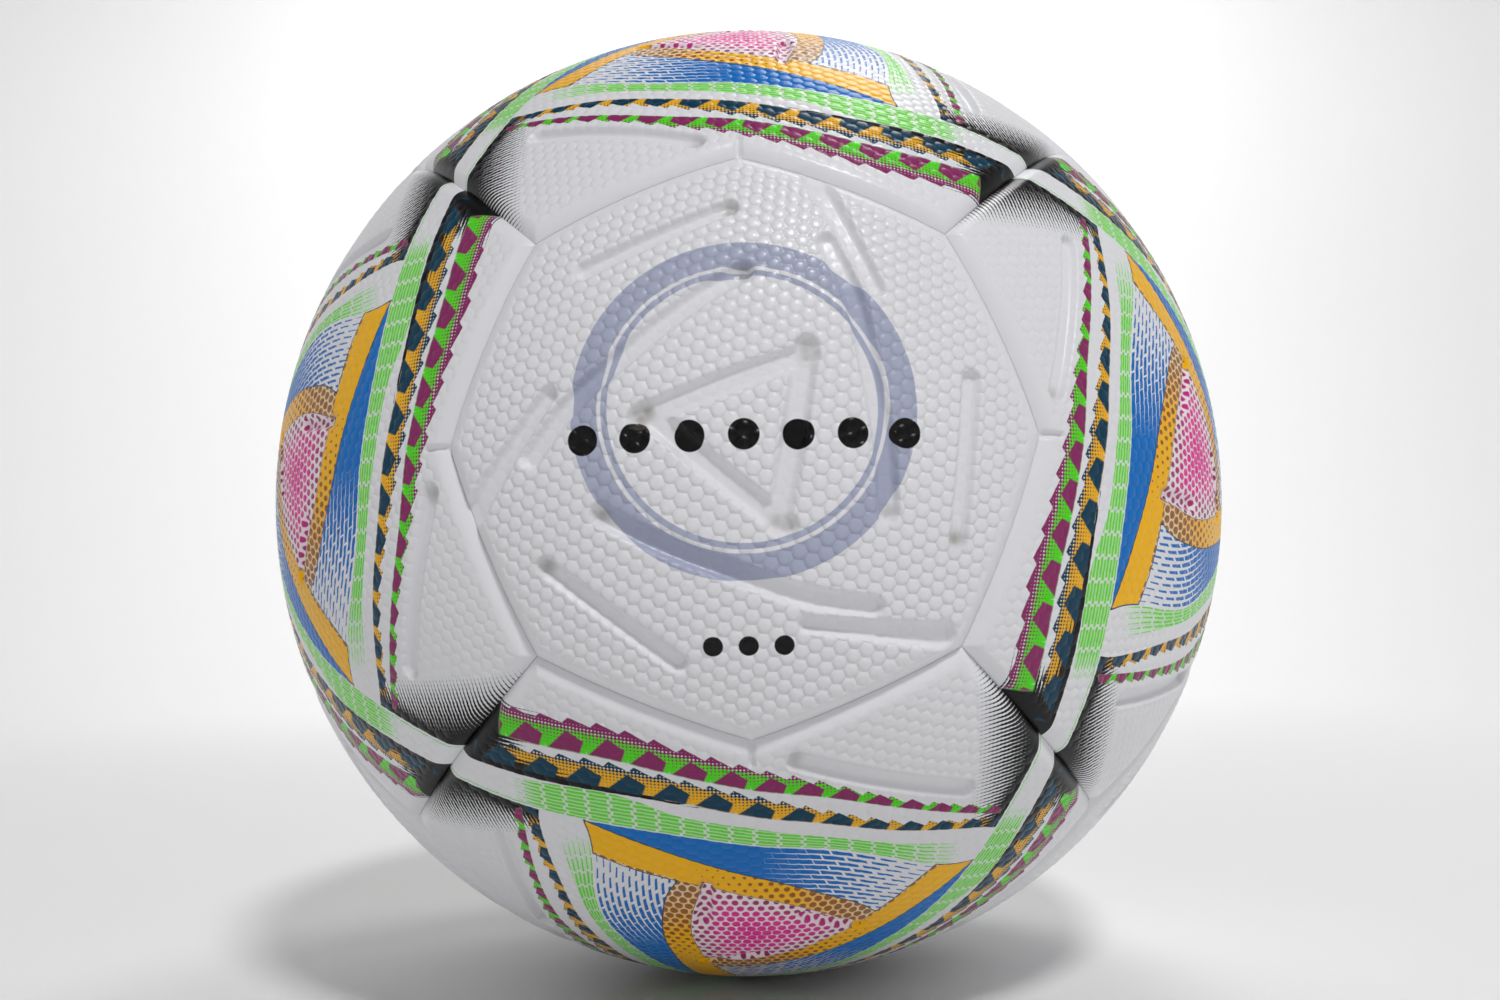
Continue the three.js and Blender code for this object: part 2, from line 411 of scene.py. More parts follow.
PLUM_SOLID = curve(
    (-20, 1.15), (-13.9, 1.2), (-6.2, 1.5), (-0.3, 1.7), (5.6, 1.85), (12.5, 2.1), (21.5, 2.2),
)
GREEN_MARGIN = curve((-24, 2.2), (-10, 1.5), (0, 1.35), (8, 1.2), (11, 0.4), (22, 0.3))
CELLS = 14
# Where each row of cells starts, its first cell's width, and how much the next ones grow.
TEAL_START = (-25.5, 3.1, 0.0267)
PLUM_START = (-24.5, 2.8, 0.029)
HATCH_END = -20.8
# Millimetres by which a side's print runs on under the next side's white strip.
SWITCH = 1.2
# Which of the triangle's sides meet another triangle.
SHORT_SEAMS = (2, 5, 8)


def above(line, x, y):
    """Millimetres that a point lies above a line."""
    slope = (line(x + 0.1) - line(x - 0.1)) / 0.2
    return (y - line(x)) * DEGREE / np.sqrt(1 + slope**2)


def cell_number(x, start, width, growth):
    """How many cells lie before x, where each is a little wider than the one before."""
    return np.log(np.maximum(1 + growth * (x - start) / width, 0.05)) / growth


def row_place(x, y, start, top, bottom, solid):
    """Cell number, height in the solid row from 0 to 1, and degrees above the teeth's tips."""
    foot = top(x) - solid(x)
    return np.c_[cell_number(x, *start), (y - foot) / solid(x), y - bottom(x)]


def black_density(x, y, strip, previous, seam):
    """Density of the black at a side's two ends: 1 and more is solid."""
    narrow = np.maximum((HATCH_END - x) / 6.0, 1.35 - previous / 5.0) * smooth(-x, 19.5, 22.0)
    line = np.interp(x, (3, 9, 14, 20, 27), (0.0, 0.45, 0.65, 0.95, 1.7))
    wide = (line + strip / DEGREE) / 0.25 + 0.5
    wide = np.where(x > 3, np.clip(wide, 0, 1.3) * smooth(x, 3, 9), 0)
    corner = (9.0 - seam) / 5.0 * smooth(y, -8.8, -7.6) * smooth(x, 14, 18)
    between = smooth(x, 15, 21) * smooth(y, -3.6, -2.0)
    return np.maximum.reduce([narrow, wide, corner, between, np.zeros(len(x))])


def triangle_print(directions):
    """What the triangle's material needs to know at every point, by attribute name."""
    places = [side_place(directions, *side) for side in SIDES]
    low = [above(STRIP_LOW, x, y) for x, y in places]
    top = [above(STRIP_TOP, x, y) for x, y in places]
    orange_low = [above(ORANGE_LOW, x, y) for x, y in places]
    orange_top = [above(ORANGE_TOP, x, y) for x, y in places]
    to_seams = directions @ TRIANGLE.normals[list(SHORT_SEAMS)].T
    seam = (BALL * np.arcsin(to_seams)).min(axis=1)
    central = np.minimum.reduce(top)
    strips = []
    greens = []
    blues = []
    oranges = []
    claims = []
    for k, (x, y) in enumerate(places):
        outer = np.minimum(-low[k], top[k - 1])
        strip = np.minimum.reduce([low[k], -top[k], top[k - 1]])
        margin = GREEN_MARGIN(x) * DEGREE
        green = np.minimum.reduce([low[k] - margin, -top[k] - 0.3, top[k - 1] - 2])
        blue = np.minimum.reduce([central, -orange_low[k], orange_top[k - 1]])
        orange = np.minimum.reduce([central, orange_low[k], -orange_top[k], orange_top[k - 1]])
        strips.append(strip)
        greens.append(green)
        blues.append(blue)
        oranges.append(orange)
        in_strip = np.minimum.reduce([low[k], -top[k], top[k - 1] - SWITCH])
        in_blue = np.minimum.reduce([central, -orange_low[k], orange_top[k - 1] + SWITCH])
        claims.append(np.maximum.reduce([outer + SWITCH, in_strip, in_blue, orange]))
    owner = np.argmax(claims, axis=0)
    pick = [owner == k for k in range(3)]
    x = np.select(pick, [place[0] for place in places])
    y = np.select(pick, [place[1] for place in places])
    own_low = np.select(pick, low)
    previous = np.select(pick, [top[k - 1] for k in range(3)])
    across = (y - STRIP_LOW(x)) / (STRIP_TOP(x) - STRIP_LOW(x))
    return {
        "side": np.c_[x, across, y - STRIP_TOP(x)],
        "zone": np.c_[np.maximum.reduce(strips), np.maximum.reduce(greens), central],
        "band": np.c_[
            np.maximum.reduce(blues), np.maximum.reduce(oranges), np.minimum.reduce(orange_top),
        ],
        "teal": row_place(x, y, TEAL_START, TEAL_TOP, TEAL_BOTTOM, TEAL_SOLID),
        "plum": row_place(x, y, PLUM_START, PLUM_TOP, PLUM_BOTTOM, PLUM_SOLID),
        "ink": np.c_[black_density(x, y, own_low, previous, seam), y, own_low],
    }


# ---- Meshes ----


def mesh_from(name, points, triangles, attributes=None):
    """A smooth mesh in metres from points in millimetres, with vectors at its points."""
    made = bpy.data.meshes.new(name)
    made.vertices.add(len(points))
    made.vertices.foreach_set("co", (points * MM).astype(np.float32).ravel())
    made.loops.add(3 * len(triangles))
    made.loops.foreach_set("vertex_index", triangles.astype(np.int32).ravel())
    made.polygons.add(len(triangles))
    made.polygons.foreach_set("loop_start", np.arange(0, 3 * len(triangles), 3, dtype=np.int32))
    for key, values in (attributes or {}).items():
        layer = made.attributes.new(key, "FLOAT_VECTOR", "POINT")
        full = np.zeros((len(points), 3), np.float32)
        full[: len(values)] = values
        layer.data.foreach_set("vector", full.ravel())
    made.update(calc_edges=True)
    made.polygons.foreach_set("use_smooth", np.ones(len(triangles), bool))
    made.validate()
    return made


def hole_rim(radius, step):
    count = round(2 * math.pi * radius / step)
    angle = np.arange(count) * 2 * math.pi / count
    return np.c_[np.cos(angle), np.sin(angle)] * radius


def triangulate(rims, inside, keeps):
    """Triangles over flat points: closed rims first, then points between them."""
    points = np.concatenate([*rims, inside])
    edges = []
    start = 0
    for rim in rims:
        count = len(rim)
        edges += [(start + k, start + (k + 1) % count) for k in range(count)]
        start += count
    made = delaunay_2d_cdt([Vector(p) for p in points.tolist()], edges, [], 0, 1e-7, False)
    triangles = np.array([face for face in made[2] if len(face) == 3])
    middles = points[triangles].mean(axis=1)
    return points, triangles[keeps(middles)]


def panel_mesh(
    name, outline, flat_map, spacing, turn, heights, inner,
    hole=0.0, rows=EDGE_ROWS, paint=None,
):
    """One closed layer of a panel: its outer side, its side walls and its inner side."""
    rings = [flat_map.flatten(outline.row(depth, spacing)) for depth in rows]
    rims = [rings[0]]
    if hole:
        rims.append(hole_rim(hole, spacing))
        rings += [hole_rim(hole + depth, spacing) for depth in rows[1:]]
    extra = 0.35 * spacing
    reach = 1.02 * np.hypot(*rings[0].T).max()

    def between(pitch, margin):
        points = grid(pitch, turn, reach)
        clear = outline.depth(flat_map.directions(points)) > margin
        return points[clear & (np.hypot(points[:, 0], points[:, 1]) > hole + bool(hole) * margin)]

    def on_panel(points):
        inside = outline.depth(flat_map.directions(points)) > rows[0] - 1e-4
        return inside & (np.hypot(points[:, 0], points[:, 1]) > hole * 0.9999)

    fine = between(spacing, rows[-1] + extra)
    outer_flat, outer_faces = triangulate(rims, np.concatenate([*rings[1:], fine]), on_panel)
    coarse = between(6 * spacing, rows[-1] + spacing)
    inner_flat, inner_faces = triangulate(rims, coarse, on_panel)
    directions = flat_map.directions(outer_flat)
    depth = outline.depth(directions)
    height, attributes = heights(directions, outer_flat, depth)
    outer = directions * height[:, None]
    points = np.concatenate([outer, flat_map.directions(inner_flat) * inner])
    faces = [outer_faces, inner_faces[:, ::-1] + len(outer)]
    start = 0
    for index, rim in enumerate(rims):
        near = start + np.arange(len(rim))
        far = start + (np.arange(len(rim)) + 1) % len(rim)
        if index:
            near, far = far, near
        below = len(outer)
        faces.append(np.c_[near, near + below, far])
        faces.append(np.c_[far, near + below, far + below])
        start += len(rim)
    attributes["plane"] = np.c_[outer_flat, depth]
    if paint:
        attributes.update(paint(directions))
    return mesh_from(name, points, np.concatenate(faces), attributes)


def octagon_heights(hole):
    def heights(directions, flat, depth):
        embossing = octagon_embossing(flat)
        if hole:
            reach = np.hypot(flat[:, 0], flat[:, 1])
            embossing = embossing * smooth(reach, hole + 1, hole + 5)
            depth = np.minimum(depth, (reach - hole) * 1.6 + SEAM_HALF)
        height = BALL + surface_height(depth, flat, embossing, OCTAGON_BUMP_TURN)
        # Painted shade around the octagon's pits.
        pit_shade = np.max([painted_pit_shade(turned(flat, -third), OCTAGON_PITS) for third in THIRDS], axis=0)
        return height, relief(depth, flat, embossing, OCTAGON_BUMP_TURN, pit_shade)

    return heights


def triangle_heights(directions, flat, depth):
    embossing = triangle_embossing(directions)
    height = BALL + surface_height(depth, flat, embossing, TRIANGLE_BUMP_TURN, PRINTED_BUMPS)
    places = [np.c_[side_place(directions, *side)] * DEGREE for side in SIDES]
    # Painted shade around the triangle's pits.
    pit_shade = np.max([painted_pit_shade(here, TRIANGLE_PITS) for here in places], axis=0)
    return height, relief(depth, flat, embossing, TRIANGLE_BUMP_TURN, pit_shade)


def foam_heights(directions, flat, depth):
    return FOAM_OUTER - FOAM_EDGE_DROP * (1 - smooth(depth, 0, FOAM_EDGE_WIDTH)), {}


FINE = BUMP_PITCH / BUMP_STEPS
CUBE_TO_ROW = Matrix(((1, -1, 0), (0, 0, -math.sqrt(2)), (1, 1, 0))) * (1 / math.sqrt(2))
OCTAGON_TURNS = {
    "front": (0, 0), "back": (2, 0), "upper_right": (0, 1),
    "lower_left": (0, -1), "upper_left": (-1, 0), "lower_right": (1, 0),
}
TRIANGLE_TURNS = {
    "front_top": (0, 0), "front_left": (0, 1), "front_bottom": (0, 2), "front_right": (0, 3),
    "back_right": (2, 0), "back_top": (2, 1), "back_left": (2, 2), "back_bottom": (2, 3),
}
QUARTER = math.pi / 2


def place(name, mesh, turn, node, slot):
    """A piece in place of a CAD node, its mesh turned from the cube's frame to the ball's."""
    if turn:
        mesh = mesh.copy()
        mesh.name = name
        mesh.transform((CUBE_TO_ROW @ turn).to_4x4())
    piece = bpy.data.objects.new(name, mesh)
    bpy.context.scene.collection.objects.link(piece)
    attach(piece, "root")
    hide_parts(node)
    return piece


def octagon_turn(about_x, about_y):
    return Matrix.Rotation(about_y * QUARTER, 3, "Y") @ Matrix.Rotation(about_x * QUARTER, 3, "X")


def triangle_turn(about_x, about_z):
    return Matrix.Rotation(about_z * QUARTER, 3, "Z") @ Matrix.Rotation(about_x * QUARTER, 3, "X")


# ---- Material building ----


def srgb(red, green, blue):
    """A colour from its 0 to 255 screen values."""

    def linear(value):
        value /= 255
        return value / 12.92 if value <= 0.04045 else ((value + 0.055) / 1.055) ** 2.4

    return (linear(red), linear(green), linear(blue), 1.0)


WHITE = srgb(236, 236, 240)
ORANGE = srgb(255, 190, 0)
CREAM = srgb(236, 222, 184)
BLUE = srgb(0, 114, 200)
NAVY = srgb(14, 42, 86)
TEAL = srgb(8, 62, 86)
YELLOW = srgb(248, 184, 30)
PLUM = srgb(142, 44, 102)
GREEN = srgb(84, 226, 24)
DASH_GREEN = srgb(112, 224, 74)
PALE_GREEN = srgb(186, 238, 164)
MAGENTA = srgb(234, 44, 156)
MAROON = srgb(140, 52, 92)
PINK = srgb(250, 234, 241)
BROWN = srgb(150, 78, 18)
BLACK = srgb(10, 10, 12)
MARK_BLUE = srgb(176, 181, 204)
# The grey-brown of the painted shade in the pits.
PIT_SHADE = srgb(132, 122, 104)


class Signal:
    """A number that a material works out at every point, used with plain arithmetic."""

    def __init__(self, tree, socket):
        self.tree = tree
        self.socket = socket

    def using(self, operation, *others, clamp=False):
        node = self.tree.nodes.new("ShaderNodeMath")
        node.operation = operation
        node.use_clamp = clamp
        for slot, value in zip(node.inputs, (self, *others)):
            if isinstance(value, Signal):
                self.tree.links.new(value.socket, slot)
            else:
                slot.default_value = value
        return Signal(self.tree, node.outputs[0])

    def __add__(self, other):
        return self.using("ADD", other)

    def __sub__(self, other):
        return self.using("SUBTRACT", other)

    def __rsub__(self, other):
        return self.using("MULTIPLY_ADD", -1.0, other)

    def __mul__(self, other):
        return self.using("MULTIPLY", other)

    def __neg__(self):
        return self.using("MULTIPLY", -1.0)

    def fraction(self):
        return self.using("FRACT")

    def size(self):
        return self.using("ABSOLUTE")

    def least(self, other):
        return self.using("MINIMUM", other)

    def most(self, other):
        return self.using("MAXIMUM", other)

    def over(self, edge, soft):
        """1 well over an edge and 0 well under it, with a rise of a given width."""
        return self.using("MULTIPLY_ADD", 1.0 / soft, 0.5 - edge / soft, clamp=True)

    def under(self, edge, soft):
        return self.using("MULTIPLY_ADD", -1.0 / soft, 0.5 + edge / soft, clamp=True)

    def wave(self):
        """A wave that falls from 1 to 0 and rises again with each whole number."""
        return (self.fraction() * 2.0 - 1.0).size()


class Looks:
    """A material on a glossy or matt surface, built a step at a time."""

    def __init__(self, name, roughness, **sockets):
        self.material = bpy.data.materials.new(name)
        self.material.use_nodes = True
        self.tree = self.material.node_tree
        self.shader = self.tree.nodes["Principled BSDF"]
        self.shader.inputs["Roughness"].default_value = roughness
        for key, value in sockets.items():
            self.shader.inputs[key.replace("_", " ")].default_value = value

    def attribute(self, name):
        """The three numbers stored at each point under a name."""
        node = self.tree.nodes.new("ShaderNodeAttribute")
        node.attribute_name = name
        split = self.tree.nodes.new("ShaderNodeSeparateXYZ")
        self.tree.links.new(node.outputs["Vector"], split.inputs[0])
        return [Signal(self.tree, socket) for socket in split.outputs]

    def vector(self, name):
        node = self.tree.nodes.new("ShaderNodeAttribute")
        node.attribute_name = name
        return node.outputs["Vector"]

    def noise(self, where, scale, detail=2.0):
        node = self.tree.nodes.new("ShaderNodeTexNoise")
        node.inputs["Scale"].default_value = scale
        node.inputs["Detail"].default_value = detail
        self.tree.links.new(where, node.inputs["Vector"])
        return Signal(self.tree, node.outputs[0])

    def paint(self, base, colour, mask):
        """A colour laid over another where the mask is 1."""
        node = self.tree.nodes.new("ShaderNodeMix")
        node.data_type = "RGBA"
        slots = [slot for slot in node.inputs if slot.type == "RGBA"]
        self.tree.links.new(mask.socket, node.inputs[0])
        for slot, value in zip(slots, (base, colour)):
            if isinstance(value, tuple):
                slot.default_value = value
            else:
                self.tree.links.new(value, slot)
        return next(socket for socket in node.outputs if socket.type == "RGBA")

    def bump(self, height, distance, strength=1.0):
        node = self.tree.nodes.new("ShaderNodeBump")
        node.inputs["Distance"].default_value = distance
        node.inputs["Strength"].default_value = strength
        self.tree.links.new(height.socket, node.inputs["Height"])
        self.tree.links.new(node.outputs[0], self.shader.inputs["Normal"])

    def finish(self, colour, roughness=None):
        self.tree.links.new(colour, self.shader.inputs["Base Color"])
        if roughness is not None:
            self.tree.links.new(roughness.socket, self.shader.inputs["Roughness"])
        return self.material


# ---- Cover materials ----
# Millimetres over which a printed edge fades, on the triangles and on the octagon.
SOFT = 0.12
CRISP = 0.15
PRINTED_SHADE = 0.45
# How many teeth the foot of each row has to one cell.
TEAL_TEETH = 1.75
PLUM_TEETH = 1.45


def cover_looks(name):
    return Looks(name, 0.35, Coat_Weight=0.1, Coat_Roughness=0.16, Specular_IOR_Level=0.19)


def staggered(across, along, row):
    """Distance to the nearest of points one unit apart, in rows a given distance apart."""
    step = 2 * row
    nearest = None
    for shift in (0.0, 0.5):
        side = (across + (shift + 0.5)).fraction() - 0.5
        rise = ((along * (1 / step) + (shift + 0.5)).fraction() - 0.5) * step
        gap = side * side + rise * rise
        nearest = gap if nearest is None else nearest.least(gap)
    return nearest.using("SQRT")


def cover_finish(looks, colour, shade=1.0):
    """The cover's raised dots and fine grain, and painted shade darkening its pits."""
    across, along, clear = looks.attribute("relief")
    away = staggered(across, along, math.sqrt(3) / 2) * 2.0
    domes = (1.0 - away.using("POWER", 4.0)).most(-0.3) * clear
    grain = looks.noise(looks.vector("plane"), 2.4, 3.0)
    wide = looks.noise(looks.vector("plane"), 0.05, 2.0)
    # Painted shade: the pits are darkened towards grey-brown, more in some places than others.
    pit_shade = looks.attribute("pit_shade")[0]
    colour = looks.paint(colour, PIT_SHADE, (wide * 1.2 - 0.1) * pit_shade)
    looks.bump(domes * shade + grain * 0.12, BUMP_SHADE * MM)
    roughness = (grain * 0.08 + 0.23) + wide * 0.06
    return looks.finish(colour, roughness)


def cell_row(looks, base, key, ground, dark, mesh, teeth, black=None):
    """A row of slanting dark cells with a lighter wedge between them and a toothed foot."""
    number, height, tip = looks.attribute(key)
    cell = (number + 0.15).fraction() - 0.15
    left = (height * -1.05 + 0.32).most(height * 0.167 - 0.167)
    right = height * 0.47 + 0.32
    solid = (cell - left).over(0, 0.04) * (right - cell).over(0, 0.04)
    solid = solid * height.under(1, 0.08)
    tooth = (number * teeth).fraction()
    rise = (tooth * -1.28 + 1.0).most(tooth * 4.5 - 3.5) * 0.6
    ends = number.over(0, 0.06) * number.under(CELLS, 0.06)
    body = (tip - rise).over(0, 0.08) * height.under(1, 0.08) * ends
    notch = ((cell - 0.9).size() - (height - 0.45) * 0.13).under(0, 0.03)
    cover = height.using("MULTIPLY_ADD", -0.45, 0.45).most(height * -1.1 + 0.5)
    dots = (cover - mesh).over(0, 0.2)
    colour = looks.paint(ground, WHITE, height.under(-0.1, 0.15))
    colour = looks.paint(base, colour, body)
    colour = looks.paint(colour, dark, body * dots)
    colour = looks.paint(colour, WHITE, body * notch)
    if black is not None:
        colour = looks.paint(colour, BLACK, black)
    return looks.paint(colour, dark, solid * ends)


def printed_cover():
    """Each layer of the print over the last, on the triangle panels."""
    looks = cover_looks("printed_cover")
    x, across, lift = looks.attribute("side")
    strip, green, central = looks.attribute("zone")
    blue, orange, magenta = looks.attribute("band")
    right, up = looks.attribute("plane")[:2]
    density, y = looks.attribute("ink")[:2]
    mesh = ((x * 2.9).wave() + (y * 2.9).wave()) * 0.5
    comb = (y * 2.3).wave() * 0.88 + (x * 2.3).wave() * 0.12
    black = (density - comb).over(0, 0.25) * density.over(0.03, 0.05)
    black = black * strip.under(0, SOFT) * central.under(0, SOFT)
    colour = cell_row(looks, WHITE, "teal", YELLOW, TEAL, mesh, TEAL_TEETH, black)
    colour = cell_row(looks, colour, "plum", GREEN, PLUM, mesh, PLUM_TEETH)
    colour = looks.paint(colour, WHITE, strip.over(0, SOFT).most(central.over(0, SOFT)))
    colour = green_bricks(looks, colour, x, across, green)
    colour = blue_dashes(looks, colour, x, lift, blue)
    colour = orange_band(looks, colour, x, right, up, orange)
    colour = magenta_dots(looks, colour, right, up, magenta)
    return cover_finish(looks, colour, PRINTED_SHADE)


def green_bricks(looks, base, x, across, green):
    rows = across * 9.0
    parity = (rows * 0.5).fraction().over(0.5, 0.01)
    column = (x * 0.45 + parity * 0.12).fraction()
    gap = (column - 0.5).size().under(0.44, 0.05) * 0.85 + 0.15
    fade = x.over(-17, 8.0) * x.under(21.5, 3.0)
    dash = gap * ((rows.fraction() - 0.5).size() - fade * 0.3).under(0, 0.14)
    area = green.over(0, SOFT) * gap
    colour = looks.paint(base, PALE_GREEN, area * fade)
    return looks.paint(colour, DASH_GREEN, area * dash * fade.over(0.05, 0.05))


def blue_dashes(looks, base, x, lift, blue):
    rows = lift * 1.35
    parity = (rows * 0.5).fraction().over(0.5, 0.01)
    column = (x * 0.43 + parity * 0.5 + lift * 0.2).fraction()
    amount = (x + 20.0) * (1 / 19.0)
    long = ((column - 0.5).size() - (amount * 0.3 + 0.25).least(0.5)).under(0, 0.03)
    tall = ((rows.fraction() - 0.5).size() - (amount * 0.5).least(0.52)).under(0, 0.06)
    area = blue.over(0, SOFT) * amount.over(0.08, 0.02)
    return looks.paint(base, BLUE, (long * tall).most(amount.over(1, 0.02)) * area)


def orange_band(looks, base, x, right, up, orange):
    faded = x.under(-8, 8.0)
    ground = looks.paint(ORANGE, CREAM, faded)
    colour = looks.paint(base, NAVY, orange.over(-0.12, SOFT))
    colour = looks.paint(colour, ground, orange.over(0.12, SOFT))
    radius = x.using("MULTIPLY_ADD", -0.028, 0.21).least(0.4)
    dots = (dot_distance(right, up) - radius).under(0, 0.08) * x.under(6, 1.0)
    return looks.paint(colour, BROWN, orange.over(0.1, SOFT) * dots * 0.92)


def dot_distance(right, up):
    """Distance from the nearest dot's middle, where the dots are one unit apart."""
    return staggered(right * 0.52, up * 0.4, 0.8)


def magenta_dots(looks, base, right, up, magenta):
    colour = looks.paint(base, PINK, magenta.over(0, SOFT))
    radius = (magenta * 0.016 + 0.29).least(0.52)
    dots = (dot_distance(right, up) - radius).under(0, 0.08)
    ink = looks.paint(MAROON, MAGENTA, magenta.over(3.0, 5.0))
    return looks.paint(colour, ink, dots * magenta.over(0.1, SOFT))


def white_cover():
    return cover_finish(cover_looks("white_cover"), WHITE)


# The ring's height and radius, its half width, and the white line inside it.
RING_RISE = 4.0
RING_RADIUS = 26.0
RING_HALF = 3.2
LINE_RADIUS = 24.2
LINE_HALF = 0.35
# Each printed row of discs: its height, half its length, and the discs' pitch and radius.
DISC_ROWS = ((-1.0, 32.0, 9.0, 2.6), (-36.0, 9.0, 6.0, 1.7))


def marked_cover():
    """The white cover with a plain ring and two rows of discs printed on it."""
    looks = cover_looks("marked_cover")
    right, up = looks.attribute("plane")[:2]
    away = (right * right + (up - RING_RISE) * (up - RING_RISE)).using("SQRT")
    ring = (away - RING_RADIUS).size()
    colour = looks.paint(WHITE, MARK_BLUE, ring.under(RING_HALF, CRISP))
    colour = looks.paint(colour, WHITE, (away - LINE_RADIUS).size().under(LINE_HALF, CRISP))
    for level, reach, pitch, radius in DISC_ROWS:
        column = ((right * (1 / pitch) + 0.5).fraction() - 0.5) * pitch
        gap = (column * column + (up - level) * (up - level)).using("SQRT")
        discs = gap.under(radius, CRISP) * right.size().under(reach, CRISP)
        colour = looks.paint(colour, BLACK, discs)
    return cover_finish(looks, colour)


# ---- Materials of the inner parts ----


def foam_look():
    looks = Looks("closed_cell_foam", 0.95)
    cells = looks.noise(looks.vector("plane"), 3.0, 4.0)
    colour = looks.paint(srgb(243, 236, 219), srgb(222, 212, 190), cells)
    looks.bump(cells, 0.0002, 0.6)
    return looks.finish(colour)


def woven_look():
    looks = Looks("woven_polyester", 0.85, Sheen_Weight=0.2)
    around, along = looks.attribute("plane")[:2]
    warp = (around * 1.2).wave()
    weft = (along * 1.2).wave()
    cloth = warp.most(weft)
    colour = looks.paint(srgb(214, 218, 220), srgb(150, 156, 160), cloth.over(0.7, 0.5))
    looks.bump(cloth, 0.0002, 0.8)
    return looks.finish(colour)


def rubber_look(name, colour, worn, roughness):
    looks = Looks(name, roughness)
    grain = looks.noise(looks.vector("plane"), 1.2, 4.0)
    looks.bump(grain, 0.0001, 0.4)
    return looks.finish(looks.paint(colour, worn, grain.over(0.62, 0.25) * 0.6))


# ---- Turned parts, about the valve's axis ----
TURNED_STEPS = 96


def turned_mesh(name, profile, steps=TURNED_STEPS):
    """A ring turned about +Y from a closed outline of (radius, height) points."""
    profile = np.array(profile)
    count = len(profile)
    angle = np.arange(steps) * 2 * math.pi / steps
    ring = np.c_[np.sin(angle), np.zeros(steps), np.cos(angle)]
    points = profile[:, 0][:, None, None] * ring + profile[:, 1][:, None, None] * Y
    lengths = np.r_[0, np.cumsum(np.linalg.norm(np.diff(profile, axis=0), axis=1))]
    around = np.broadcast_to(angle * 60, (count, steps))
    along = np.broadcast_to(lengths[:, None], (count, steps))
    plane = np.stack([around, along, along * 0], axis=-1).reshape(-1, 3)
    faces = []
    for k in range(count):
        near = k * steps + np.arange(steps)
        far = ((k + 1) % count) * steps + np.arange(steps)
        near_next = np.roll(near, -1)
        far_next = np.roll(far, -1)
        faces.append(np.c_[near, far, far_next])
        faces.append(np.c_[near, far_next, near_next])
    return mesh_from(name, points.reshape(-1, 3), np.concatenate(faces), {"plane": plane})


def shell_profile(outer, inner, steps=64):
    """The section of a round shell that is open only around the valve."""
    opening = VALVE_HOLE / BALL
    angle = np.linspace(math.pi - 0.002, opening, steps)[:, None]
    arc = np.c_[np.sin(angle), np.cos(angle)]
    return np.concatenate([arc * outer, arc[::-1] * inner])


def rounded_profile(corners, radius=0.25, steps=4):
    """A closed outline with its corners rounded."""
    corners = np.array(corners, float)
    points = []
    previous = np.roll(corners, 1, axis=0)
    following = np.roll(corners, -1, axis=0)
    for before, corner, after in zip(previous, corners, following):
        start = corner + unit(before - corner) * radius
        end = corner + unit(after - corner) * radius
        for t in np.linspace(0, 1, steps):
            points.append(start * (1 - t) ** 2 + corner * 2 * t * (1 - t) + end * t * t)
    return np.array(points)


# ---- The ball ----


def octagon_cover(name, hole):
    return panel_mesh(
        name, OCTAGON, OCTAGON_MAP, FINE, OCTAGON_BUMP_TURN,
        octagon_heights(hole), COVER_INNER, hole=hole,
    )


def make_cover():
    plain = octagon_cover("octagon", 0.0)
    pierced = octagon_cover("octagon_pierced", VALVE_HOLE)
    marked = plain.copy()
    white = white_cover()
    plain.materials.append(white)
    pierced.materials.append(white)
    marked.materials.append(marked_cover())
    special = {"front": marked, "back": pierced}
    for name, turns in OCTAGON_TURNS.items():
        mesh = special.get(name, plain)
        node = f"cover_octagon_{name}"
        place(f"panel_octagon_{name}", mesh, octagon_turn(*turns), node, "cover_white")
    printed = panel_mesh(
        "triangle", TRIANGLE, TRIANGLE_MAP, FINE, TRIANGLE_BUMP_TURN,
        triangle_heights, COVER_INNER, paint=triangle_print,
    )
    printed.materials.append(printed_cover())
    for name, turns in TRIANGLE_TURNS.items():
        node = f"cover_triangle_{name}"
        place(f"panel_triangle_{name}", printed, triangle_turn(*turns), node, "cover_printed")


def make_foam():
    look = foam_look()
    shapes = {}
    for key, outline, flat_map, hole in (
        ("octagon", OCTAGON, OCTAGON_MAP, 0.0),
        ("pierced", OCTAGON, OCTAGON_MAP, VALVE_HOLE),
        ("triangle", TRIANGLE, TRIANGLE_MAP, 0.0),
    ):
        mesh = panel_mesh(
            f"foam_{key}", outline, flat_map, FOAM_SPACING, 0,
            foam_heights, FOAM_INNER, hole=hole, rows=FOAM_EDGE_ROWS,
        )
        mesh.materials.append(look)
        shapes[key] = mesh
    for name, turns in OCTAGON_TURNS.items():
        mesh = shapes["pierced" if name == "back" else "octagon"]
        node = f"foam_octagon_{name}"
        piece = place(f"backing_octagon_{name}", mesh, octagon_turn(*turns), node, "foam")
    for name, turns in TRIANGLE_TURNS.items():
        mesh = shapes["triangle"]
        node = f"foam_triangle_{name}"
        piece = place(f"backing_triangle_{name}", mesh, triangle_turn(*turns), node, "foam")


def turned_piece(name, profile, node, slot, material):
    mesh = turned_mesh(name, profile)
    mesh.materials.append(material)
    place(name, mesh, None, node, slot)


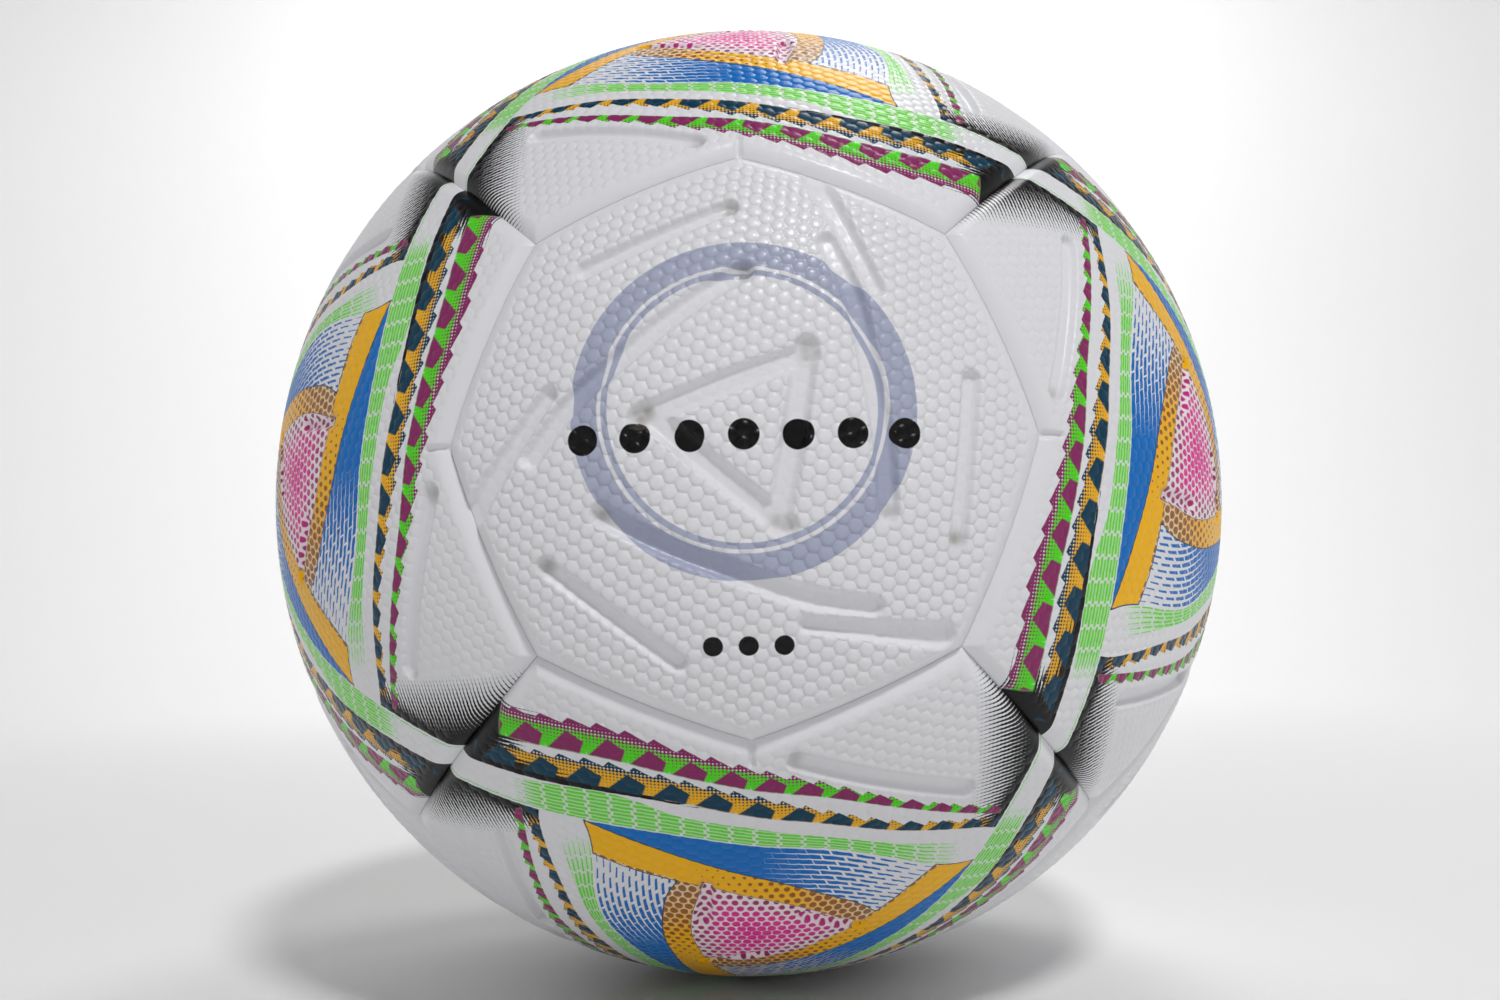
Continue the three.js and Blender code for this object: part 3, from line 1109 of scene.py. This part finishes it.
def make_core():
    shell = shell_profile(CARCASS_OUTER, CARCASS_INNER)
    turned_piece("carcass_shell", shell, "carcass", "carcass_textile", woven_look())
    shell = shell_profile(BLADDER_OUTER, BLADDER_INNER)
    rubber = rubber_look("butyl_rubber", srgb(30, 30, 32), srgb(52, 52, 54), 0.5)
    turned_piece("bladder_shell", shell, "bladder", "bladder_rubber", rubber)
    housing = rounded_profile([
        (BORE, FLANGE_BOTTOM), (FLANGE, FLANGE_BOTTOM), (FLANGE, FLANGE_TOP),
        (STEM, FLANGE_TOP), (STEM, STEM_TOP), (BORE, STEM_TOP),
    ])
    rubber = rubber_look("moulded_rubber", srgb(36, 36, 38), srgb(70, 70, 72), 0.55)
    turned_piece("valve_body", housing, "valve_housing", "valve_rubber", rubber)
    core = rounded_profile([
        (NEEDLE, FLANGE_BOTTOM), (CORE, FLANGE_BOTTOM), (CORE, CORE_TOP),
        (NEEDLE + FUNNEL, CORE_TOP), (NEEDLE, CORE_TOP - FUNNEL),
    ], radius=0.2)
    rubber = rubber_look("soft_rubber", srgb(58, 58, 62), srgb(84, 84, 88), 0.7)
    turned_piece("valve_plug", core, "valve_core", "core_rubber", rubber)


# ---- Studio ----
FLOOR = -BALL * MM
# In metres: the flat floor's radius, the sweep's, the wall's height, and its sides.
FLAT_RADIUS = 1.6
SWEEP_RADIUS = 1.1
WALL_HEIGHT = 3.2
FLOOR_STEPS = 96


def make_floor():
    """A pale floor that sweeps up into a wall all the way round."""
    profile = [(0.001, 0.0), (FLAT_RADIUS / 2, 0.0)]
    for angle in np.linspace(0, QUARTER, 16):
        rise = SWEEP_RADIUS * (1 - math.cos(angle))
        profile.append((FLAT_RADIUS + SWEEP_RADIUS * math.sin(angle), rise))
    profile.append((FLAT_RADIUS + SWEEP_RADIUS, WALL_HEIGHT))
    profile = np.array(profile)
    angle = np.arange(FLOOR_STEPS) * 2 * math.pi / FLOOR_STEPS
    ring = np.c_[np.cos(angle), np.sin(angle), np.zeros(FLOOR_STEPS)]
    points = profile[:, 0][:, None, None] * ring + profile[:, 1][:, None, None] * Z
    points = points.reshape(-1, 3) + FLOOR * Z
    faces = []
    for k in range(len(profile) - 1):
        near = k * FLOOR_STEPS + np.arange(FLOOR_STEPS)
        far = near + FLOOR_STEPS
        faces.append(np.c_[near, far, np.roll(far, -1)])
        faces.append(np.c_[near, np.roll(far, -1), np.roll(near, -1)])
    mesh = mesh_from("floor", points / MM, np.concatenate(faces))
    looks = Looks("pale_floor", 0.9)
    looks.shader.inputs["Base Color"].default_value = (0.9, 0.9, 0.9, 1)
    mesh.materials.append(looks.material)
    floor = bpy.data.objects.new("floor", mesh)
    bpy.context.scene.collection.objects.link(floor)


# Each light's place in metres, its width, its power, and the point that it faces.
LIGHTS = {
    "key": ((0.4, -1.15, 1.5), 0.3, 16.5, (0.0, 0.0, 0.0)),
    "top": ((0.4, 0.5, 1.5), 0.6, 5, (0.0, 0.0, 0.0)),
    "backdrop": ((0.0, 1.4, 1.7), 1.2, 25, (0.0, 2.7, 0.3)),
}
WORLD_LIGHT = 0.08


def make_light(name, position, size, power, target):
    data = bpy.data.lights.new(name, "AREA")
    data.shape = "DISK"
    data.size = size
    data.energy = power
    lamp = bpy.data.objects.new(name, data)
    lamp.location = position
    lamp.rotation_euler = (Vector(target) - Vector(position)).to_track_quat("-Z", "Y").to_euler()
    bpy.context.scene.collection.objects.link(lamp)


def make_lights():
    for name, settings in LIGHTS.items():
        make_light(name, *settings)
    world = bpy.data.worlds.new("studio")
    world.use_nodes = True
    world.node_tree.nodes["Background"].inputs[0].default_value = (1, 1, 1, 1)
    world.node_tree.nodes["Background"].inputs[1].default_value = WORLD_LIGHT
    bpy.context.scene.world = world


# Where the camera stands: millimetres from the ball's middle, degrees about it, and the
# point looked at.
CAMERA_DISTANCE = 2.9 * BALL
CAMERA_ASIDE = 0.3
CAMERA_RISE = -6.4
CAMERA_ROLL = -1.3
CAMERA_AIM = (0.3, 0.0, 0.7)
CAMERA_LENS = 30.9


def make_camera():
    """The camera stands a little below the ball's middle and is turned slightly."""
    data = bpy.data.cameras.new("camera")
    data.lens = CAMERA_LENS
    data.sensor_width = 36
    data.clip_start = 0.01
    aside = math.radians(CAMERA_ASIDE)
    rise = math.radians(CAMERA_RISE)
    towards = Vector((math.sin(aside), -math.cos(aside), math.tan(rise))).normalized()
    position = towards * CAMERA_DISTANCE * MM
    back = position - Vector(CAMERA_AIM) * MM
    facing = back.to_track_quat("Z", "Y").to_matrix().to_4x4()
    roll = Matrix.Rotation(math.radians(CAMERA_ROLL), 4, "Z")
    camera = bpy.data.objects.new("camera", data)
    camera.matrix_world = Matrix.Translation(position) @ facing @ roll
    bpy.context.scene.collection.objects.link(camera)
    bpy.context.scene.camera = camera


bpy.context.scene.view_settings.view_transform = "Standard"
make_camera()
make_lights()
make_floor()
make_cover()
make_foam()
make_core()
